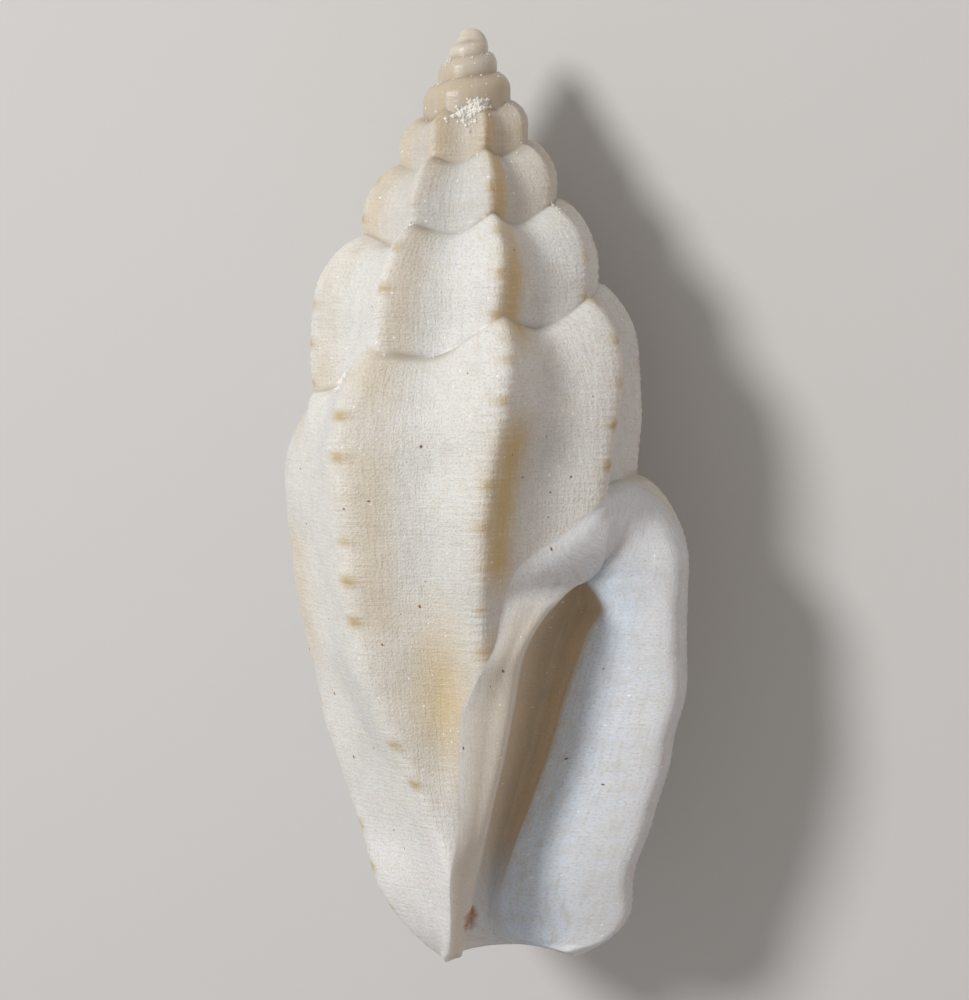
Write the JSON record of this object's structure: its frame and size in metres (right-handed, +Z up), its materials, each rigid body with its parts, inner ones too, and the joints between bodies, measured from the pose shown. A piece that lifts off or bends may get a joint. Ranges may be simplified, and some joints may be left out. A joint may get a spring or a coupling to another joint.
{
  "type": "eucithara caledonica shell",
  "caption": "Small spindle-shaped sea snail shell with strong lengthwise ribs, a thickened outer lip and a long narrow opening, lying on its back.",
  "frame": {"origin": "middle of the shell's box at its base, on the surface that it lies on", "axes": "+Y runs along the shell towards its apex, +X towards the outer lip, +Z up, with the opening up"},
  "size_m": [0.0046, 0.01, 0.0036],
  "materials": {
    "shell": "warm cream-white, slightly translucent, satin, with faint yellow-brown spots on the ribs"
  },
  "bodies": {
    "root": {"shell": "shell"}
  },
  "joints": []
}
